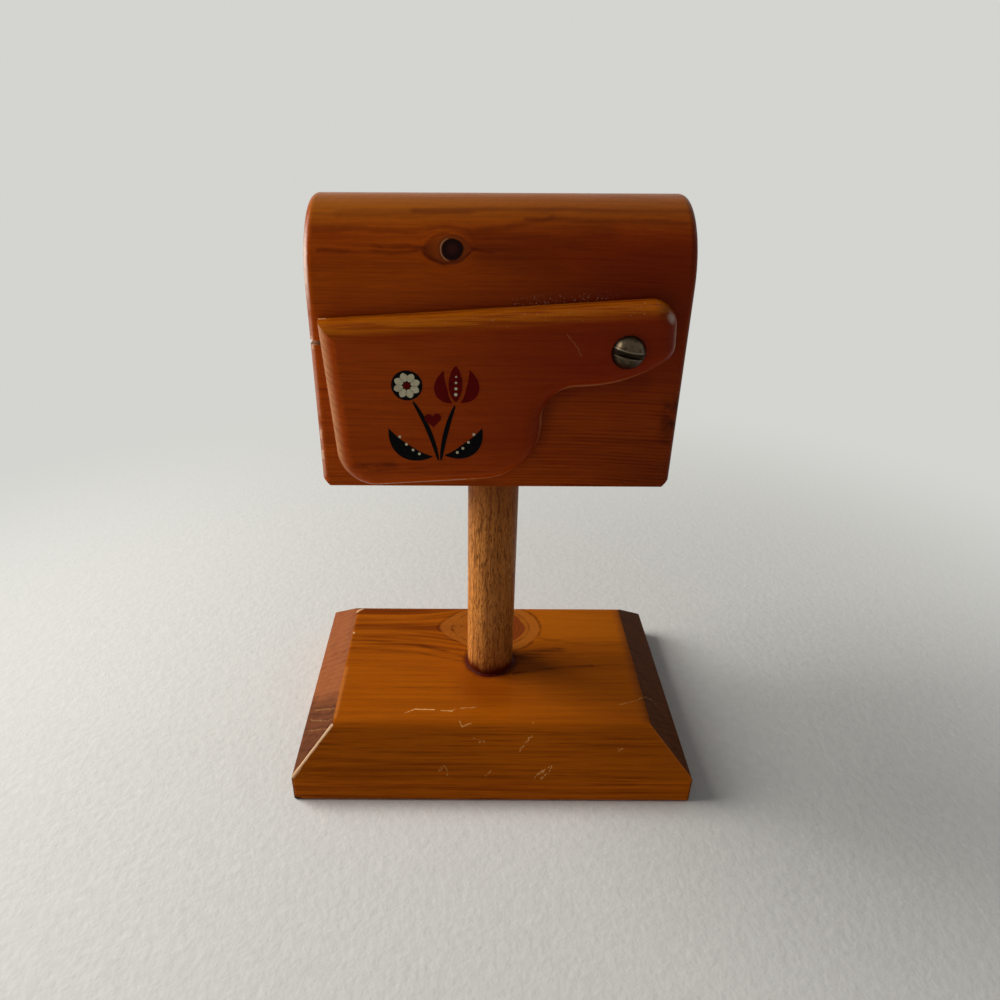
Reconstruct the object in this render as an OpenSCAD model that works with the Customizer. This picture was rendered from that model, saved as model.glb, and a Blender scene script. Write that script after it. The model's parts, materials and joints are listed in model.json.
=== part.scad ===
// Stamp roll dispenser: a wooden mailbox on a post, with a swing cover over the roll of stamps.
// Millimetres, +Z up, front towards -Y, origin under the middle of the base.

/* [Base block] */
// Width of the base, left to right
base_w = 120; // [100:1:150]
// Depth of the base, front to back
base_d = 82; // [66:1:110]
// Full height of the base
base_h = 19.8; // [17:0.1:26]
// Height of the plain lip under the bevels
lip_h = 9; // [5:0.1:12]
// How far each bevel runs in from its side
bevel_run = 11.5; // [8:0.5:18]
// Roundover where the front and back bevels meet the top
crest_r = 4; // [2:0.5:8]
// Roundover where the end bevels meet the top
end_crest_r = 2; // [1:0.5:6]
// Roundover where the bevels meet the lip
lip_r = 3; // [1:0.5:5]
// Easing of the base's bottom edges and upright corners
base_ease = 0.6; // [0.2:0.1:1.2]

/* [Post] */
// Diameter of the dowel
post_d = 15.1; // [12:0.1:17]
// Clear height of the dowel between base and mailbox
post_clear = 76; // [60:1:110]
// Depth of the dowel's socket in the base
base_socket = 12; // [8:0.5:14]
// Depth of the dowel's socket in the mailbox
box_socket = 9; // [5:0.5:10]
// Glue gap all round the dowel in both sockets
glue_fit = 0.05; // [0.02:0.01:0.1]

/* [Mailbox] */
// Length of the mailbox, left to right
box_l = 93; // [88:1:120]
// Depth of the mailbox, front to back, also the width of its round top
box_d = 38; // [36:1:50]
// Height of the mailbox
box_h = 71.4; // [64:0.1:90]
// Radius of the eased edge round both ends
end_ease = 2.1; // [0.4:0.1:3]
// Bevel under both ends
foot_cut = 2; // [1:0.1:3]

/* [Roll chamber and slot] */
// Diameter of the round chamber behind the cover
chamber_d = 35; // [33:0.5:36]
// Depth of the chamber from the front face
chamber_deep = 28; // [26:0.5:31]
// Distance of the chamber's centre from the left end
chamber_in = 24.5; // [22:0.5:27]
// Height of the chamber's centre above the mailbox's underside
chamber_up = 23.5; // [22:0.5:25]
// Height of the saw slot that lets the strip out on the left
slot_h = 1.2; // [1:0.1:2]
// Height of the slot's middle above the mailbox's underside
slot_up = 39; // [37:0.1:39.5]

/* [Swing cover] */
// Thickness of the cover
cover_t = 6.4; // [5.5:0.1:9]
// Roundover along the cover's front edges
cover_round = 4.7; // [3:0.1:5]
// Reach of the panel to the left of the pivot
panel_reach = 73.5; // [66:0.5:80]
// Drop of the panel below the pivot
panel_drop = 33; // [31:0.5:36]
// Rise of the straight top edge above the pivot
top_rise = 10.9; // [10:0.1:14]
// Drop of the arm's lower edge below the pivot
arm_drop = 9.2; // [8:0.1:10.5]
// Reach of the arm's nose to the right of the pivot
nose_reach = 12; // [11.5:0.1:14]
// Distance of the S-curve's waist from the pivot
waist_in = 20.5; // [18:0.5:26]
// Inside radius of the S-curve under the arm
throat_r = 8; // [5:0.5:10]
// Radius of the panel's lower left corner
heel_r = 10; // [6:0.5:14]
// Radius of the nose's upper corner
nose_top_r = 6; // [5.5:0.1:7]
// Radius of the nose's lower corner
nose_low_r = 5; // [5:0.1:5.6]
// Radius of the long sweep under the nose
sweep_r = 36; // [33:1:44]
// Straight run of the arm's lower edge between the S-curve and the sweep
arm_flat = 3.5; // [1:0.5:6]
// Angle that the cover hangs below level
cover_sag = 3.7; // [0:0.1:6]
// Gap between the cover and the mailbox
cover_gap = 0.3; // [0.2:0.05:0.6]

/* [Pivot screw] */
// Distance of the pivot from the mailbox's right end
pivot_in = 16; // [14:0.1:20]
// Height of the pivot above the mailbox's underside
pivot_up = 39; // [37:0.5:42]
// Diameter of the screw's shank
shank_d = 4.2; // [3.5:0.1:5]
// Running clearance of the cover round the shank
pivot_fit = 0.06; // [0.02:0.01:0.1]
// Diameter of the round head
head_d = 8.2; // [7:0.1:10]
// Height of the round head
head_h = 3.1; // [2.2:0.1:3.4]
// Play of the cover under the head
head_gap = 0.1; // [0.05:0.05:0.3]
// Length of the screw under its head
screw_l = 25.4; // [18:0.1:32]
// Length of the screw's point
point_l = 6; // [4:0.5:8]
// Clearance of the screw in its pilot hole
pilot_fit = 0.03; // [0.01:0.01:0.05]
// Width of the driver slot
driver_w = 1.2; // [0.8:0.1:1.6]
// Depth of the driver slot
driver_deep = 1.5; // [1:0.1:1.8]
// Turn of the driver slot away from level
driver_turn = 11; // [0:1:90]

/* [Stamp roll] */
// Width of the stamps, across the strip
stamp_w = 22; // [20:0.5:24]
// Length of one stamp along the strip
stamp_l = 22; // [18:0.5:23]
// Diameter of the roll's open eye
eye_d = 15; // [10:0.5:20]
// Thickness of the strip's free end
strip_t = 0.3; // [0.2:0.05:0.4]
// Clearance round the roll and under the strip
paper_gap = 0.3; // [0.2:0.05:0.35]
// Distance of the strip's end from the mailbox's left end
strip_in = 0.5; // [0.2:0.1:2]
// Diameter of the perforation holes
perf_d = 1; // [0.6:0.1:1.2]
// Pitch of the perforation holes
perf_pitch = 2; // [1.6:0.1:2.6]

/* [Hidden] */
$fn = 96;
box_z = base_h + post_clear;
box_r = box_d / 2;
spring_z = box_z + box_h - box_r;
chamber_x = -box_l / 2 + chamber_in;
chamber_z = box_z + chamber_up;
chamber_back = -box_r + chamber_deep;
slot_z = box_z + slot_up;
slot_floor = slot_z - slot_h / 2;
pivot_x = box_l / 2 - pivot_in;
pivot_z = box_z + pivot_up;
cover_y = -box_r - cover_gap;
head_y = cover_y - cover_t - head_gap;
dome_r = (head_d * head_d / 4 + head_h * head_h) / (2 * head_h);
// The S-curve's outer radius takes up the height left between arm, throat and foot.
toe_r = panel_drop - arm_drop - throat_r;
throat_x = -waist_in + throat_r;
throat_y = -arm_drop - throat_r;
toe_x = -waist_in - toe_r;
// The sweep under the nose leaves the arm's lower edge level and meets the small nose corner smoothly.
sweep_x = throat_x + arm_flat;
sweep_y = -arm_drop + sweep_r;
nose_x = nose_reach - nose_low_r;
nose_y = sweep_y - sqrt(pow(sweep_r - nose_low_r, 2) - pow(nose_x - sweep_x, 2));
nose_angle = atan2(nose_y - sweep_y, nose_x - sweep_x);
// The roll stands on the chamber's wall and reaches up to the slot's floor.
roll_low = chamber_z - chamber_d / 2 + paper_gap;
roll_d = slot_floor - roll_low;
roll_z = roll_low + roll_d / 2;
roll_back = chamber_back - paper_gap;
strip_z = slot_floor + paper_gap;
strip_left = -box_l / 2 + strip_in;
// Cutters reach past the wood by bite. They and parts of an outline reach into each other by a lap.
bite = 2;
lap = 0.5;
lap_angle = 1;

// What a radius r takes off a blunt corner at p, where the outline arrives along u and turns right to v.
module blunt_waste(p, u, v, r) {
    cut = r * tan(acos(u * v) / 2);
    c = p - cut * u + r * [u[1], -u[0]];
    difference() {
        polygon([c, p - cut * u, 2 * p - c, p + cut * v]);
        translate(c)
            circle(r);
    }
}

// Side view of the base across a width w: lip, bevel and flat top, the top's edges rounded to top_r.
module base_profile(w, top_r) {
    slope = atan2(base_h - lip_h, bevel_run);
    fall = [cos(slope), -sin(slope)];
    crest = [w / 2 - bevel_run, base_h];
    brow = [w / 2, lip_h];
    side = [[w / 2 - base_ease, 0], [w / 2, base_ease], brow, crest];
    difference() {
        polygon(concat(side, [for (i = [len(side) - 1:-1:0]) [-side[i][0], side[i][1]]]));
        for (flip = [0, 1])
            mirror([flip, 0]) {
                blunt_waste(crest, [1, 0], fall, top_r);
                blunt_waste(brow, fall, [0, -1], lip_r);
            }
    }
}

module rounded_plan(w, d, r) {
    square([w - 2 * r, d], center = true);
    square([w, d - 2 * r], center = true);
    for (x = [-1, 1], y = [-1, 1])
        translate([x * (w / 2 - r), y * (d / 2 - r)])
            circle(r);
}

module base() {
    color([0.62, 0.30, 0.10])
    difference() {
        intersection() {
            rotate([90, 0, 0])
                linear_extrude(base_d, center = true)
                    base_profile(base_w, end_crest_r);
            rotate([90, 0, 90])
                linear_extrude(base_w, center = true)
                    base_profile(base_d, crest_r);
            linear_extrude(base_h)
                rounded_plan(base_w, base_d, 2 * base_ease);
        }
        translate([0, 0, base_h - base_socket])
            cylinder(d = post_d + 2 * glue_fit, h = base_socket + bite);
    }
}

module post() {
    color([0.66, 0.42, 0.20])
    translate([0, 0, base_h - base_socket])
        cylinder(d = post_d, h = base_socket + post_clear + box_socket);
}

// Solid mailbox: a box with rounded upright edges under a half round with rounded rims.
module box_blank() {
    intersection() {
        translate([0, 0, box_z])
            linear_extrude(box_h - box_r)
                rounded_plan(box_l, box_d, end_ease);
        rotate([90, 0, 0])
            linear_extrude(box_d + bite, center = true)
                polygon([
                    [-box_l / 2 + foot_cut, box_z],
                    [box_l / 2 - foot_cut, box_z],
                    [box_l / 2, box_z + foot_cut],
                    [box_l / 2, spring_z + bite],
                    [-box_l / 2, spring_z + bite],
                    [-box_l / 2, box_z + foot_cut]
                ]);
    }
    translate([0, 0, spring_z])
        rotate([0, 90, 0])
            rotate([0, 0, 90])
                rotate_extrude(angle = 180)
                    intersection() {
                        rotate(90)
                            rounded_plan(box_l, box_d, end_ease);
                        translate([0, -box_l / 2])
                            square([box_r, box_l]);
                    }
}

// Screw body without head, grown by a clearance, its axis up and its head's seat at zero.
module screw_core(extra) {
    rotate_extrude()
        polygon([
            [0, 0],
            [shank_d / 2 + extra, 0],
            [shank_d / 2 + extra, -screw_l + point_l],
            [0, -screw_l - extra]
        ]);
}

module mailbox_body() {
    color([0.55, 0.24, 0.07])
    difference() {
        box_blank();
        translate([0, 0, box_z - bite])
            cylinder(d = post_d + 2 * glue_fit, h = box_socket + bite);
        translate([chamber_x, chamber_back, chamber_z])
            rotate([90, 0, 0])
                cylinder(d = chamber_d, h = chamber_deep + bite);
        translate([-box_l / 2 - bite, -box_r - bite, slot_floor])
            cube([chamber_in + bite, chamber_deep + bite, slot_h]);
        translate([pivot_x, head_y, pivot_z])
            rotate([90, 0, 0])
                screw_core(pilot_fit);
    }
}

// Corner waste: what a radius r takes off a square corner at the origin.
module corner_waste(r) {
    difference() {
        translate([-bite, -bite])
            square(r + bite);
        translate([r, r])
            circle(r);
    }
}

// Front outline of the cover round its pivot: panel, S-curve, arm and nose.
module cover_outline() {
    difference() {
        translate([-panel_reach, -panel_drop])
            square([panel_reach - waist_in, panel_drop + top_rise]);
        translate([-panel_reach, -panel_drop])
            corner_waste(heel_r);
        translate([-waist_in, -panel_drop])
            mirror([1, 0])
                corner_waste(toe_r);
    }
    difference() {
        translate([-waist_in - lap, -arm_drop])
            square([waist_in + lap + nose_reach, arm_drop + top_rise]);
        translate([nose_reach, top_rise])
            rotate(180)
                corner_waste(nose_top_r);
        difference() {
            translate([sweep_x, -arm_drop - bite])
                square([nose_reach - sweep_x + bite, arm_drop + bite + nose_y]);
            translate([sweep_x, sweep_y])
                circle(sweep_r);
        }
        difference() {
            translate([nose_x, nose_y])
                polygon([
                    [0, 0],
                    [2 * nose_low_r, 0],
                    [2 * nose_low_r, -2 * nose_low_r],
                    [2 * nose_low_r * cos(nose_angle), 2 * nose_low_r * sin(nose_angle)]
                ]);
            translate([nose_x, nose_y])
                circle(nose_low_r);
        }
    }
    difference() {
        translate([-waist_in - lap, throat_y])
            square(throat_r + lap);
        translate([throat_x, throat_y])
            circle(throat_r);
    }
}

// Section of the waste outside a roundover, its outer edge at zero and the front face at cover_t.
module round_waste() {
    translate([-cover_round, cover_t - cover_round])
        difference() {
            square(cover_round + bite);
            circle(cover_round);
        }
}

// Roundover along a straight edge that starts at p, runs at an angle and has the wood on its left.
module straight_round(p, angle, run) {
    translate([p[0], p[1], 0])
        rotate([0, 0, angle])
            translate([-lap, 0, 0])
                rotate([90, 0, 90])
                    linear_extrude(run + 2 * lap)
                        mirror([1, 0])
                            round_waste();
}

// Roundover along an outside corner of radius r.
module outer_round(c, r, start, sweep) {
    translate([c[0], c[1], 0])
        rotate([0, 0, start])
            rotate_extrude(angle = sweep)
                translate([r, 0])
                    round_waste();
}

// Roundover along an inside corner of radius r.
module inner_round(c, r, start, sweep) {
    translate([c[0], c[1], 0])
        rotate([0, 0, start])
            rotate_extrude(angle = sweep)
                translate([r, 0])
                    mirror([1, 0])
                        round_waste();
}

module cover_rounds() {
    straight_round([-panel_reach, top_rise + bite], -90, top_rise + bite + panel_drop - heel_r);
    outer_round([-panel_reach + heel_r, -panel_drop + heel_r], heel_r, 180, 90);
    straight_round([-panel_reach + heel_r, -panel_drop], 0, toe_x + panel_reach - heel_r);
    outer_round([toe_x, -panel_drop + toe_r], toe_r, 270, 90);
    inner_round([throat_x, throat_y], throat_r, 90, 90);
    straight_round([throat_x + lap, -arm_drop], 0, sweep_x - throat_x - lap);
    outer_round([sweep_x, sweep_y], sweep_r, 270, 90 + nose_angle + lap_angle);
    outer_round([nose_x, nose_y], nose_low_r, nose_angle, -nose_angle);
    straight_round([nose_reach, nose_y], 90, top_rise - nose_top_r - nose_y);
    outer_round([nose_reach - nose_top_r, top_rise - nose_top_r], nose_top_r, 0, 90);
    straight_round([nose_reach - nose_top_r, top_rise], 180, nose_reach - nose_top_r + panel_reach + bite);
}

module swing_cover() {
    color([0.60, 0.27, 0.08])
    translate([pivot_x, cover_y, pivot_z])
        rotate([0, -cover_sag, 0])
            rotate([90, 0, 0])
                difference() {
                    linear_extrude(cover_t)
                        cover_outline();
                    cover_rounds();
                    translate([0, 0, -bite])
                        cylinder(d = shank_d + 2 * pivot_fit, h = cover_t + 2 * bite);
                }
}

module pivot_screw() {
    color([0.45, 0.42, 0.36])
    translate([pivot_x, head_y, pivot_z])
        rotate([90, 0, 0]) {
            screw_core(0);
            difference() {
                rotate_extrude()
                    intersection() {
                        translate([0, head_h - dome_r])
                            circle(dome_r);
                        square([head_d, head_h + bite]);
                    }
                rotate([0, 0, -driver_turn])
                    translate([-head_d, -driver_w / 2, head_h - driver_deep])
                        cube([2 * head_d, driver_w, driver_deep + bite]);
            }
        }
}

module stamp_roll() {
    color([0.93, 0.90, 0.82])
    translate([chamber_x, roll_back, roll_z])
        rotate([90, 0, 0])
            difference() {
                cylinder(d = roll_d, h = stamp_w);
                translate([0, 0, -bite])
                    cylinder(d = eye_d, h = stamp_w + 2 * bite);
            }
}

// Free end of the strip: it leaves the top of the roll and lies in the slot, torn off at a perforation.
module stamp_strip() {
    holes = floor(stamp_w / perf_pitch);
    color([0.93, 0.90, 0.82])
    difference() {
        translate([strip_left, roll_back - stamp_w, strip_z])
            cube([chamber_x - strip_left, stamp_w, strip_t]);
        for (row = [0, 1], i = [0:holes - 1])
            translate([
                strip_left + row * stamp_l,
                roll_back - stamp_w / 2 + (i - (holes - 1) / 2) * perf_pitch,
                strip_z - bite
            ])
                cylinder(d = perf_d, h = strip_t + 2 * bite, $fn = 24);
    }
}

base();
post();
mailbox_body();
swing_cover();
pivot_screw();
stamp_roll();
stamp_strip();
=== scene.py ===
"""Looks of the stamp roll dispenser: varnished pine on a dowel, a stencilled cover and a coil of stamps."""

import json
import math

import bpy
from mathutils import Matrix, Vector


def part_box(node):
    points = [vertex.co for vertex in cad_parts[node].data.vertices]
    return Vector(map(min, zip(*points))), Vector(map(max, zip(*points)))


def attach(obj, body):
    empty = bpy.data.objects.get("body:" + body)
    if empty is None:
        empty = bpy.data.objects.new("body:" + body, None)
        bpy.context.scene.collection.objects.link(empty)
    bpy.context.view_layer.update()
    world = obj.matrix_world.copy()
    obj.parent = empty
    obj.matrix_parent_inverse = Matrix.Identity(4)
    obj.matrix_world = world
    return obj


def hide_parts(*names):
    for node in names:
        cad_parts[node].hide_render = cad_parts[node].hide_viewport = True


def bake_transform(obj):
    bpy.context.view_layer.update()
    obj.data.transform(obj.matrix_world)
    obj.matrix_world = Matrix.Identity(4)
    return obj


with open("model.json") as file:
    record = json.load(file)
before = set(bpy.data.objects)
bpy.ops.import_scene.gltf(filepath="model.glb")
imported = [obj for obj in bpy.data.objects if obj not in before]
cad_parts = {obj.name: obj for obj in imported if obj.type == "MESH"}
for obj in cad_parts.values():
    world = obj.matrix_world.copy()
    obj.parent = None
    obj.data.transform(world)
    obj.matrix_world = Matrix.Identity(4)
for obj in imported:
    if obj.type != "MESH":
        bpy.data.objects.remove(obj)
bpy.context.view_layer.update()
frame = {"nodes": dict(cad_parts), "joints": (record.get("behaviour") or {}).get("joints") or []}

# Sizes are in millimetres, in the row frame, and become metres where a mesh or a light is made.
MM = 0.001


def corners(node):
    low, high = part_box(node)
    return low / MM, high / MM


joints = {joint["name"]: joint for joint in frame["joints"]}
base_low, base_high = corners("base")
post_low, post_high = corners("post")
box_low, box_high = corners("mailbox_body")
cover_low, cover_high = corners("swing_cover")
roll_low, roll_high = corners("stamp_roll")
strip_low, strip_high = corners("stamp_strip")

POST_R = (post_high.x - post_low.x) / 2
BOX_R = (box_high.y - box_low.y) / 2
SPRING_Z = box_high.z - BOX_R
BEVEL_RUN = 11.5
PIVOT = Vector(joints["cover_swing"]["pos_m"]) / MM
COVER_SAG = math.radians(3.7)
PAPER_GAP = 0.3
CHAMBER_R = 17.5
ROLL_R = (roll_high.x - roll_low.x) / 2
ROLL_Z = (roll_low.z + roll_high.z) / 2
CHAMBER_X = (roll_low.x + roll_high.x) / 2
CHAMBER_Z = roll_low.z - PAPER_GAP + CHAMBER_R
CHAMBER_BACK = roll_high.y + PAPER_GAP
SLOT_H = 1.2
SLOT_Z = strip_low.z - PAPER_GAP + SLOT_H / 2
SCREW_TURN = math.radians(11)


# Shader fields: numbers and colours that vary over a surface, written as arithmetic.


def plug(tree, socket, value):
    """Sets a node's input to a constant, or links a field or a socket to it."""
    if isinstance(value, Field):
        tree.links.new(value.socket, socket)
    elif isinstance(value, bpy.types.NodeSocket):
        tree.links.new(value, socket)
    else:
        socket.default_value = value


class Field:
    """A number that varies over a surface."""

    def __init__(self, tree, socket):
        self.tree = tree
        self.socket = socket

    def math(self, operation, *others):
        node = self.tree.nodes.new("ShaderNodeMath")
        node.operation = operation
        for socket, value in zip(node.inputs, (self, *others)):
            plug(self.tree, socket, value)
        return Field(self.tree, node.outputs[0])

    def __add__(self, other):
        return self.math("ADD", other)

    def __sub__(self, other):
        return self.math("SUBTRACT", other)

    def __rsub__(self, other):
        return self.math("MULTIPLY_ADD", -1.0, other)

    def __mul__(self, other):
        return self.math("MULTIPLY", other)

    def __truediv__(self, other):
        return self.math("DIVIDE", other)

    def __abs__(self):
        return self.math("ABSOLUTE")

    def most(self, other):
        return self.math("MAXIMUM", other)

    def ramp(self, low, high, start, end):
        node = self.tree.nodes.new("ShaderNodeMapRange")
        node.interpolation_type = "SMOOTHSTEP"
        plug(self.tree, node.inputs["Value"], self)
        for name, value in (("From Min", low), ("From Max", high), ("To Min", start), ("To Max", end)):
            node.inputs[name].default_value = value
        return Field(self.tree, node.outputs["Result"])

    def rise(self, low, high):
        """0 below low, 1 above high, smooth between."""
        return self.ramp(low, high, 0.0, 1.0)

    def fall(self, low, high):
        """1 below low, 0 above high, smooth between."""
        return self.ramp(low, high, 1.0, 0.0)


def vector_math(tree, operation, first, second, third=None):
    node = tree.nodes.new("ShaderNodeVectorMath")
    node.operation = operation
    plug(tree, node.inputs[0], first)
    plug(tree, node.inputs["Scale"] if operation == "SCALE" else node.inputs[1], second)
    if third is not None:
        plug(tree, node.inputs[2], third)
    if operation in ("DOT_PRODUCT", "DISTANCE"):
        return Field(tree, node.outputs["Value"])
    return node.outputs["Vector"]


def split(tree, vector):
    node = tree.nodes.new("ShaderNodeSeparateXYZ")
    plug(tree, node.inputs[0], vector)
    return [Field(tree, output) for output in node.outputs]


def join(tree, *fields):
    node = tree.nodes.new("ShaderNodeCombineXYZ")
    for socket, field in zip(node.inputs, fields):
        plug(tree, socket, field)
    return node.outputs[0]


def random_step(tree, number):
    """A random number from 0 to 1 for each whole number."""
    node = tree.nodes.new("ShaderNodeTexWhiteNoise")
    node.noise_dimensions = "1D"
    plug(tree, node.inputs["W"], number.math("FLOOR"))
    return Field(tree, node.outputs["Value"])


def line_distance(tree, spot, start, end):
    """Distance from a straight line between two points."""
    start, along = Vector(start), Vector(end) - Vector(start)
    offset = vector_math(tree, "SUBTRACT", spot, start)
    share = vector_math(tree, "DOT_PRODUCT", offset, along / along.length_squared)
    share = share.math("MAXIMUM", 0.0).math("MINIMUM", 1.0)
    return vector_math(tree, "DISTANCE", offset, vector_math(tree, "SCALE", tuple(along), share))


# Each seed reads the noise from a place of its own, this far from the last one.
SEED_SHIFT = (17.3, 5.1, 9.7)


class Surface:
    """A material under construction: places on the object, and a colour built up in layers."""

    def __init__(self, name):
        self.material = bpy.data.materials.new(name)
        self.material.use_nodes = True
        self.tree = self.material.node_tree
        self.tree.nodes.clear()
        place = self.tree.nodes.new("ShaderNodeTexCoord")
        self.spot = vector_math(self.tree, "SCALE", place.outputs["Object"], 1 / MM)
        self.x, self.y, self.z = split(self.tree, self.spot)
        # How far the surface faces right, back and up, each from -1 to 1.
        self.right, self.back, self.up = split(self.tree, place.outputs["Normal"])
        self.colour = None

    def start(self, colour):
        """Lays the first colour."""
        first = self.tree.nodes.new("ShaderNodeRGB")
        first.outputs[0].default_value = (*colour, 1.0)
        self.colour = first.outputs[0]

    def noise(self, scale, seed, detail=2.0, spot=None):
        """Smooth noise, mostly within 0.5 of zero; scale is per millimetre, or one for each axis."""
        scales = scale if isinstance(scale, tuple) else (scale,) * 3
        shift = tuple(step * seed for step in SEED_SHIFT)
        shifted = vector_math(self.tree, "MULTIPLY_ADD", spot or self.spot, scales, shift)
        node = self.tree.nodes.new("ShaderNodeTexNoise")
        plug(self.tree, node.inputs["Vector"], shifted)
        node.inputs["Scale"].default_value = 1.0
        node.inputs["Detail"].default_value = detail
        return (Field(self.tree, node.outputs[0]) - 0.5) * 2.0

    def shaken(self, reach, scale, seed, spot=None):
        """The place, moved about a little, so that a line drawn there wavers."""
        wobble = join(self.tree, *[self.noise(scale, seed + k) * reach for k in range(3)])
        return vector_math(self.tree, "ADD", spot or self.spot, wobble)

    def path(self, points, spot=None):
        """Distance from a bent line through the points."""
        spot = spot or self.spot
        if len(points) == 1:
            return vector_math(self.tree, "DISTANCE", spot, tuple(points[0]))
        distance = line_distance(self.tree, spot, *points[:2])
        for start, end in zip(points[1:], points[2:]):
            distance = distance.math("MINIMUM", line_distance(self.tree, spot, start, end))
        return distance

    def lay(self, colour, mask):
        """Covers the colour so far with another, as far as the mask says."""
        node = self.tree.nodes.new("ShaderNodeMix")
        node.data_type = "RGBA"
        plug(self.tree, node.inputs[0], mask)
        plug(self.tree, node.inputs[6], self.colour)
        plug(self.tree, node.inputs[7], (*colour, 1.0))
        self.colour = node.outputs[2]

    def shade(self, amount):
        """Multiplies the colour so far by a field."""
        self.colour = vector_math(self.tree, "SCALE", self.colour, amount)

    def finish(self, roughness, height, relief, **sockets):
        """Ends in one shader; relief is the height's depth in millimetres."""
        shader = self.tree.nodes.new("ShaderNodeBsdfPrincipled")
        plug(self.tree, shader.inputs["Base Color"], self.colour)
        plug(self.tree, shader.inputs["Roughness"], roughness)
        for name, value in sockets.items():
            shader.inputs[name.replace("_", " ")].default_value = value
        bump = self.tree.nodes.new("ShaderNodeBump")
        bump.inputs["Distance"].default_value = relief * MM
        plug(self.tree, bump.inputs["Height"], height)
        self.tree.links.new(bump.outputs["Normal"], shader.inputs["Normal"])
        output = self.tree.nodes.new("ShaderNodeOutputMaterial")
        self.tree.links.new(shader.outputs[0], output.inputs["Surface"])
        return self.material


# Wood


VARNISH = {"Specular_IOR_Level": 0.02, "Coat_Weight": 0.13, "Coat_IOR": 1.25, "Coat_Roughness": 0.08}


class Wood(Surface):
    """Stained wood with growth rings round a pith line and fibre streaks."""

    def __init__(self, name, early, late, deep):
        super().__init__(name)
        self.early, self.late, self.deep = early, late, deep
        self.radius = self.rings = self.streaks = None

    def grow(self, along, across, pith, pitch, depths, wander=3.0):
        """Colours the wood. along is the grain's field, across the two fields round the pith.

        pitch is the rings' spacing, wander how far they stray, and depths how dark rings and streaks are.
        """
        ring_depth, streak_depth = depths
        spot = join(self.tree, along, *across)
        reach = [field - middle for field, middle in zip(across, pith)]
        radius = (reach[0] * reach[0] + reach[1] * reach[1]).math("SQRT")
        radius = radius + self.noise((0.010, 0.035, 0.035), seed=1, spot=spot) * wander
        radius = radius + self.noise((0.03, 0.25, 0.25), seed=2, spot=spot) * pitch * 0.35
        self.radius = radius
        turn = radius / pitch
        part = turn.math("FRACT")
        broken = self.noise((0.05, 0.3, 0.3), seed=7, detail=4.0, spot=spot).rise(-0.5, 0.25)
        late_share = part.rise(0.35, 0.88) * part.fall(0.92, 1.0)
        self.rings = late_share * (random_step(self.tree, turn) * 0.8 + 0.2) * broken
        self.streaks = self.noise((0.014, 1.0, 1.0), seed=3, detail=4.0, spot=spot)
        short_streaks = self.noise((0.045, 1.7, 1.7), seed=6, detail=4.0, spot=spot)
        fibres = self.noise((0.13, 4.6, 4.6), seed=4, detail=4.0, spot=spot)
        patches = self.noise((0.016, 0.07, 0.07), seed=5, spot=spot)
        self.start(self.early)
        self.lay(self.late, self.rings * ring_depth)
        self.lay(self.late, self.streaks.rise(-0.05, 0.6) * streak_depth)
        self.lay(self.late, short_streaks.rise(0.0, 0.55) * streak_depth)
        self.lay(self.deep, patches.rise(0.0, 0.7) * 0.45)
        self.shade(fibres * 0.4 + 1.0)

    def fade_and_painted_light(self, colour, amount, steep=0.55, level=0.98):
        """Faces turned up are paler, from a steep slope on and fully where they lie level: partly sun
        fading, partly painted light and sheen.
        """
        self.lay(colour, self.up.rise(steep, level) * amount)

    def varnish(self, roughness=0.3, relief=0.05, **gloss):
        peel = self.noise(0.5, seed=11)
        worn = self.noise(0.09, seed=12)
        height = self.streaks * 0.3 - self.rings * 0.35 + peel * 0.8
        return self.finish(worn * 0.14 + roughness, height, relief, **VARNISH | gloss)


PALE_WOOD = (0.78, 0.47, 0.24)
RAW_WOOD = (0.52, 0.30, 0.13)
SCRATCHED = (0.80, 0.44, 0.15)
DARK_LINE = (0.075, 0.012, 0.002)
PAINTED_EDGE_SHADOW = (0.05, 0.003, 0.0005)
DUST = (0.66, 0.50, 0.36)


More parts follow.
